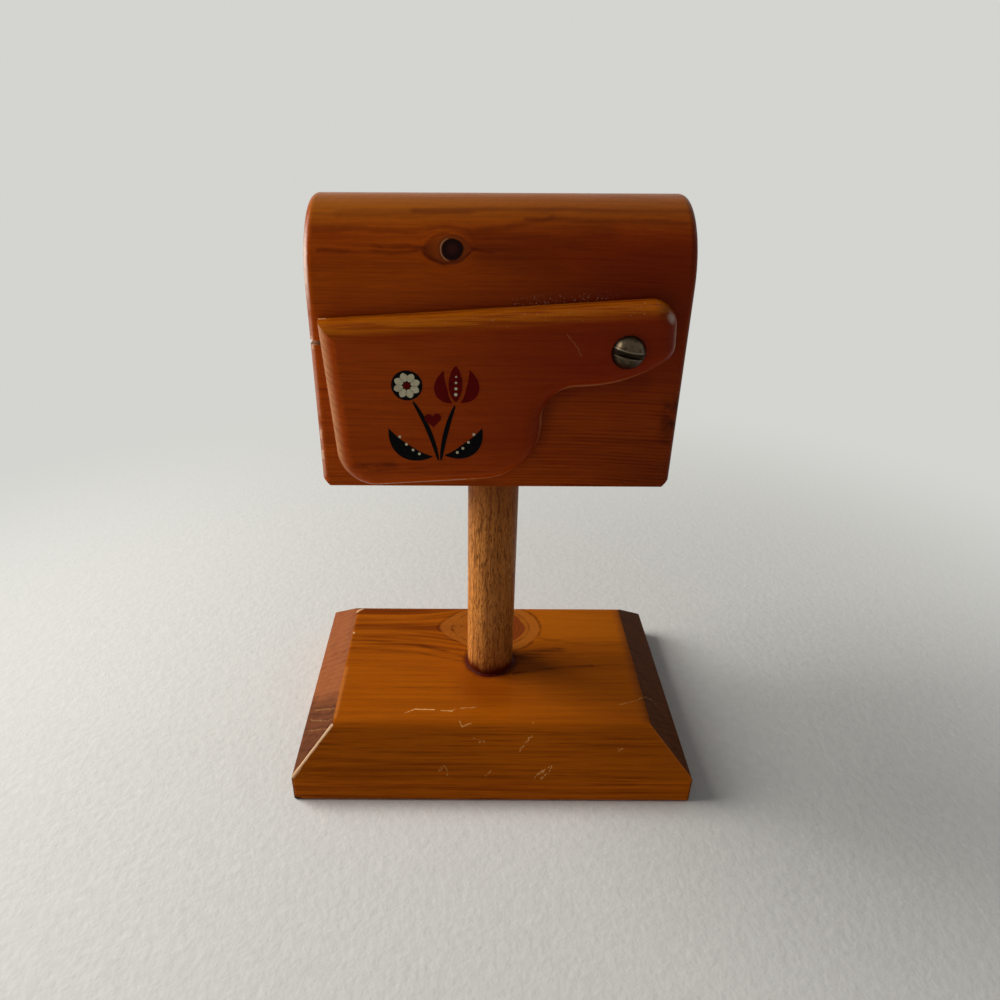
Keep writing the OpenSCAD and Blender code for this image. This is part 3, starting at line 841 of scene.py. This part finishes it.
def stain_bead(name, level, side, width, height, material):
    """A small uneven fillet round the post where it enters the wood; side is 1 above a face, -1 below."""
    steps, turns, sunk = 6, 96, 0.05
    points = []
    for i in range(turns):
        angle = 2 * math.pi * i / turns
        swell = 1 + 0.18 * math.sin(3 * angle + 0.6) + 0.12 * math.sin(7 * angle + 2.0)
        profile = [(0.0, 0.0)]
        for j in range(steps + 1):
            sweep = math.pi / 2 * j / steps
            profile.append((swell * width * (1 - math.sin(sweep)), swell * height * (1 - math.cos(sweep))))
        for out, up in profile:
            reach = POST_R - sunk + out
            points.append((reach * math.cos(angle), reach * math.sin(angle), level + side * (up - sunk)))
    ring = steps + 2
    faces = []
    for i in range(turns):
        for j in range(ring):
            near, far, ahead = i * ring, (i + 1) % turns * ring, (j + 1) % ring
            quad = (near + j, far + j, far + ahead, near + ahead)
            faces.append(quad if side > 0 else quad[::-1])
    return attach(piece(name, points, faces, material), "stand")


def blade(start, bend, end, width, fullness=1.0, steps=28):
    """Outline of a leaf or petal along a bent middle line, pointed at both ends."""
    left, right = [], []
    start, bend, end = Vector(start), Vector(bend), Vector(end)
    for i in range(steps + 1):
        t = i / steps
        middle = start * (1 - t) ** 2 + bend * 2 * t * (1 - t) + end * t**2
        along = ((bend - start) * (1 - t) + (end - bend) * t).normalized()
        half = width / 2 * math.sin(math.pi * t) ** fullness
        across = Vector((-along.y, along.x)) * half
        left.append(middle + across)
        right.append(middle - across)
    return left + right[-2:0:-1]


def disc(middle, radius, steps=20):
    x, y = middle
    turn = 2 * math.pi / steps
    angles = [turn * i for i in range(steps)]
    return [Vector((x + radius * math.cos(angle), y + radius * math.sin(angle))) for angle in angles]


def heart(middle, size, steps=36):
    outline = []
    for i in range(steps):
        t = 2 * math.pi * i / steps
        x = 16 * math.sin(t) ** 3
        y = 13 * math.cos(t) - 5 * math.cos(2 * t) - 2 * math.cos(3 * t) - math.cos(4 * t)
        outline.append(Vector((middle[0] + size * x / 32, middle[1] + size * y / 32)))
    return outline


def anticlockwise(outline):
    area = sum(p.x * q.y - q.x * p.y for p, q in zip(outline, outline[1:] + outline[:1]))
    return outline if area > 0 else outline[::-1]


# Middle of the stencilled picture on the cover, right of the pivot and above it, and the paint's thickness.
PAINT_MIDDLE = (-47.5, -12.6)
PAINT_T = 0.05


def stencil(name, outlines, material, lift=0.0):
    """Thin paint on the cover's face, one island for each outline."""
    points, faces = [], []
    face_depth = cover_high.y - cover_low.y
    for outline in map(anticlockwise, outlines):
        first, count = len(points), len(outline)
        for depth in (face_depth - 0.02, face_depth + PAINT_T + lift):
            points += [cover_point(PAINT_MIDDLE[0] + p.x, PAINT_MIDDLE[1] + p.y, depth) for p in outline]
        faces.append(tuple(range(first + count, first + 2 * count)))
        faces.append(tuple(range(first + count - 1, first - 1, -1)))
        for i in range(count):
            j = (i + 1) % count
            faces.append((first + i, first + j, first + count + j, first + count + i))
    made = piece(name, points, faces, material)
    made.data.shade_flat()
    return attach(made, "cover")


def daisy(middle, radius, petals=8):
    """Outlines of a daisy's petals round its eye."""
    outlines = []
    for i in range(petals):
        turn = 2 * math.pi * (i + 0.3) / petals
        out = Vector((math.cos(turn), math.sin(turn)))
        near, far = Vector(middle) + out * radius * 0.3, Vector(middle) + out * radius
        outlines.append(blade(near, (near + far) / 2, far, radius * 0.55, 0.6))
    return outlines


def stencil_sprig():
    """A common folk sprig in dark red, black and cream: a daisy and a tulip over two leaves."""
    red = paint("paint_red", (0.125, 0.002, 0.001), (0.05, 0.001, 0.001), 121)
    black = paint("paint_black", (0.002, 0.0015, 0.002), (0.007, 0.005, 0.005), 123)
    cream = paint("paint_cream", (0.62, 0.56, 0.38), (0.45, 0.38, 0.22), 125)
    daisy_middle, daisy_r = (-5.8, 7.6), 3.3
    reds = [
        blade((5.8, 2.6), (5.9, 7.0), (6.4, 11.8), 3.4, 0.7),
        blade((4.9, 2.4), (0.6, 5.0), (3.4, 10.8), 3.2, 0.9),
        blade((6.9, 2.4), (11.8, 4.4), (9.6, 10.6), 3.2, 0.9),
        disc(daisy_middle, 0.85),
        heart((-0.2, -1.6), 4.2),
    ]
    blacks = [
        blade((0.3, -13.0), (-0.8, -4.0), (-4.8, 3.6), 1.2, 0.4),
        blade((0.9, -13.0), (2.2, -5.0), (5.6, 1.9), 1.2, 0.4),
        blade((-1.0, -11.6), (-9.6, -11.8), (-11.4, -3.2), 3.8, 0.9),
        blade((1.9, -11.4), (9.6, -12.0), (11.8, -4.6), 3.8, 0.9),
        disc(daisy_middle, daisy_r + 0.5, 36),
    ]
    creams = daisy(daisy_middle, daisy_r)
    creams += [disc((5.9 + 0.13 * i, 4.6 + 1.5 * i), 0.42 - 0.06 * i) for i in range(4)]
    creams += [disc((-4.4 - 1.5 * i, -10.6 + 0.9 * i + 0.25 * i * i), 0.36) for i in range(4)]
    creams += [disc((5.2 + 1.5 * i, -10.8 + 0.8 * i + 0.25 * i * i), 0.36) for i in range(4)]
    stencil("stencil_black", blacks, black)
    stencil("stencil_red", reds, red, 0.02)
    stencil("stencil_cream", creams, cream, 0.03)


# A stamp's length, the holes between stamps and the paper's thickness as drawn.
STAMP_L, PERF_D, PERF_PITCH = 22.0, 1.0, 2.0
SHEET_T = 0.14
# The strip stays on the coil right of the first place and is pulled out whole left of the second.
STAYS_X, PULLED_X, STRIP_END_X = CHAMBER_X + 2.6, CHAMBER_X - 0.9, CHAMBER_X + 8.0


def coil(material):
    """The wound coil, one long sheet in a spiral from the eye to the outside."""
    inner, turns, steps = 7.5, 25, 72
    inset = 0.3
    pitch = (ROLL_R - inner) / turns
    layer = 0.78 * pitch
    points = []
    count = turns * steps + 1
    for i in range(count):
        turn = i / steps
        angle = math.pi / 2 + 2 * math.pi * turn
        slack = 0.05 * math.sin(2.3 * turn) * min(1, turns - turn)
        radius = inner + pitch * turn - pitch * max(0, turn - turns + 0.2) + slack
        shift = 0.18 * math.sin(1.7 * turn) * math.sin(0.31 * turn)
        for depth, rise in ((roll_low.y, 0), (roll_high.y, 0), (roll_high.y, -1), (roll_low.y, -1)):
            reach = radius + rise * layer
            y = depth + (inset if depth == roll_low.y else -inset) + shift
            points.append((CHAMBER_X + reach * math.cos(angle), y, ROLL_Z + reach * math.sin(angle)))
    faces = tube_faces(count, 4) + [(3, 2, 1, 0), tuple(4 * count - k for k in (4, 3, 2, 1))]
    made = piece("stamp_coil", points, faces, material)
    made.data.set_sharp_from_angle(angle=math.radians(40))
    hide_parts("stamp_roll")
    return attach(made, "roll")


def strip_height(x):
    """The strip lies level in the slot and bends down on to the coil at its inner end."""
    over_coil = ROLL_R + 0.05
    level = strip_low.z
    over = max(0.0, x - CHAMBER_X)
    on_coil = ROLL_Z + math.sqrt(over_coil**2 - over**2)
    share = min(1.0, max(0.0, (x - STAYS_X) / (STRIP_END_X - STAYS_X)))
    share = share * share * (3 - 2 * share)
    return level + (on_coil - level) * share


def strip_sheet(material):
    """The free end: a row of stamps with holes between them, torn off across a row."""
    half, hole_steps = PERF_PITCH / 2, 16
    y_middle = (strip_low.y + strip_high.y) / 2
    rows = round((strip_high.y - strip_low.y) / PERF_PITCH)
    y_first = y_middle - rows * PERF_PITCH / 2
    points, faces, index = [], [], {}

    def corner(x, y):
        key = (round(x, 4), round(y, 4))
        if key not in index:
            index[key] = len(points)
            points.append((x, y, strip_height(x)))
        return index[key]

    def perforated(x, y, whole):
        """A square of the sheet with a hole in it, or its right half with half a hole."""
        span = hole_steps if whole else hole_steps // 2
        turns = [2 * math.pi * i / hole_steps - (0 if whole else math.pi / 2) for i in range(span + 1)]
        for pair in zip(turns, turns[1:]):
            ring = [(x + PERF_D / 2 * math.cos(t), y + PERF_D / 2 * math.sin(t)) for t in pair]
            stretch = [half / max(abs(math.cos(t)), abs(math.sin(t))) for t in pair]
            edge = [(x + s * math.cos(t), y + s * math.sin(t)) for s, t in zip(stretch, pair)]
            faces.append(tuple(corner(*p) for p in (ring[0], edge[0], edge[1], ring[1])))

    for row in range(rows):
        y = y_first + (row + 0.5) * PERF_PITCH
        perforated(strip_low.x, y, False)
        perforated(strip_low.x + STAMP_L, y, True)
    eighth = hole_steps // 8
    offsets = [half * math.tan(2 * math.pi * k / hole_steps) for k in range(-eighth, eighth)]
    marks = [y_first + (row + 0.5) * PERF_PITCH + offset for row in range(rows) for offset in offsets]
    marks.append(y_first + rows * PERF_PITCH)
    for start, end, steps in (
        (strip_low.x + half, strip_low.x + STAMP_L - half, 12),
        (strip_low.x + STAMP_L + half, STRIP_END_X, 18),
    ):
        places = [start + (end - start) * k / steps for k in range(steps + 1)]
        for x0, x1 in zip(places, places[1:]):
            for y0, y1 in zip(marks, marks[1:]):
                faces.append((corner(x0, y0), corner(x1, y0), corner(x1, y1), corner(x0, y1)))
    made = piece("stamp_strip_paper", points, faces, material)
    thick = made.modifiers.new("paper", "SOLIDIFY")
    thick.thickness = SHEET_T * MM
    thick.offset = 1.0
    bpy.context.view_layer.objects.active = made
    bpy.ops.object.modifier_apply(modifier=thick.name)
    made.data.set_sharp_from_angle(angle=math.radians(40))
    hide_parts("stamp_strip")
    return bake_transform(made)


# Dressing the frame

for node, material in (
    ("base", base_wood()),
    ("post", post_wood()),
    ("mailbox_body", box_wood()),
    ("swing_cover", cover_wood()),
    ("pivot_screw", screw_metal()),
):
    frame["nodes"][node].material_slots[0].material = material

bead_glue = glue()
stain_bead("bead_foot", base_high.z, side=1, width=1.1, height=0.7, material=bead_glue)
stain_bead("bead_head", box_low.z, side=-1, width=0.7, height=0.5, material=bead_glue)
stencil_sprig()
stamp_paper = paper()
coil(stamp_paper)
strip_sheet(stamp_paper)


# Floor, light and camera


BACKDROP = (0.66, 0.66, 0.63)
FLOOR = (0.76, 0.755, 0.715)
FLOOR_HALF = 4000.0
WORLD_STRENGTH = 0.14


def seen_rays(tree):
    """1 for rays from the camera and for those that a reflection or glass sends on."""
    path = tree.nodes.new("ShaderNodeLightPath")
    seen = Field(tree, path.outputs["Is Camera Ray"])
    for name in ("Is Glossy Ray", "Is Transmission Ray"):
        seen = seen.most(Field(tree, path.outputs[name]))
    return seen


def floor_material():
    """A pale floor that takes the shadow near the object and runs out into the backdrop's colour."""
    ground = Surface("pale_floor")
    ground.start(FLOOR)
    ground.shade(ground.noise(0.35, seed=131, detail=4.0) * 0.07 + 1.0)
    grit = ground.noise(0.5, seed=132)
    material = ground.finish(0.75, grit, relief=0.1, Specular_IOR_Level=0.2)
    tree = ground.tree
    output = next(node for node in tree.nodes if node.type == "OUTPUT_MATERIAL")
    lit = output.inputs["Surface"].links[0].from_socket
    far = tree.nodes.new("ShaderNodeEmission")
    far.inputs["Color"].default_value = (*BACKDROP, 1.0)
    behind = ground.y + 50.0
    away = (ground.x * ground.x + behind * behind).math("SQRT").rise(105.0, 380.0)
    mix = tree.nodes.new("ShaderNodeMixShader")
    plug(tree, mix.inputs[0], away * seen_rays(tree))
    tree.links.new(lit, mix.inputs[1])
    tree.links.new(far.outputs[0], mix.inputs[2])
    tree.links.new(mix.outputs[0], output.inputs["Surface"])
    return material


floor = piece(
    "floor",
    [(x * FLOOR_HALF, y * FLOOR_HALF, -0.05) for x, y in ((-1, -1), (1, -1), (1, 1), (-1, 1))],
    [(0, 1, 2, 3)],
    floor_material(),
)


def area_light(name, place, aim, size, watts, colour):
    data = bpy.data.lights.new(name, "AREA")
    data.shape = "RECTANGLE"
    data.size, data.size_y = (MM * side for side in size)
    data.energy = watts
    data.color = colour
    lamp = bpy.data.objects.new(name, data)
    lamp.location = MM * Vector(place)
    lamp.rotation_euler = (Vector(aim) - Vector(place)).to_track_quat("-Z", "Y").to_euler()
    bpy.context.scene.collection.objects.link(lamp)


area_light("window", (-650, 110, 520), aim=(0, 0, 60), size=(530, 530), watts=7.6, colour=(1, 0.98, 0.95))
area_light("bright_wall", (790, 190, 560), aim=(0, 0, 120), size=(90, 90), watts=0.16, colour=(1, 1, 1))


def soft_world():
    """An even dim light from all round, with a pale background for the camera and reflections."""
    world = bpy.data.worlds.new("studio")
    world.use_nodes = True
    tree = world.node_tree
    tree.nodes.clear()
    light, backdrop = (tree.nodes.new("ShaderNodeBackground") for _ in range(2))
    light.inputs["Color"].default_value = (0.96, 0.98, 1.0, 1.0)
    light.inputs["Strength"].default_value = WORLD_STRENGTH
    backdrop.inputs["Color"].default_value = (*BACKDROP, 1.0)
    mix = tree.nodes.new("ShaderNodeMixShader")
    plug(tree, mix.inputs[0], seen_rays(tree))
    tree.links.new(light.outputs[0], mix.inputs[1])
    tree.links.new(backdrop.outputs[0], mix.inputs[2])
    output = tree.nodes.new("ShaderNodeOutputWorld")
    tree.links.new(mix.outputs[0], output.inputs["Surface"])
    bpy.context.scene.world = world


soft_world()

# The photograph is 1000 pixels square; its view was found from the edges of base, post and mailbox.
PHOTO_PX = 1000
FOCAL_PX = 749
CENTRE_X_PX = 470.5
EYE = Vector((-6.79, -198.71, 187.16))
PITCH_DOWN = 0.4891
ROLL = 0.0048

lens = bpy.data.cameras.new("photo_view")
lens.sensor_width = 36.0
lens.lens = lens.sensor_width * FOCAL_PX / PHOTO_PX
lens.shift_x = (PHOTO_PX / 2 - CENTRE_X_PX) / PHOTO_PX
lens.clip_start = 0.01
camera = bpy.data.objects.new("photo_view", lens)
aim = Matrix.Rotation(math.pi / 2 - PITCH_DOWN, 4, "X") @ Matrix.Rotation(ROLL, 4, "Z")
camera.matrix_world = Matrix.Translation(MM * EYE) @ aim
bpy.context.scene.collection.objects.link(camera)
bpy.context.scene.camera = camera
bpy.context.scene.view_settings.view_transform = "Standard"
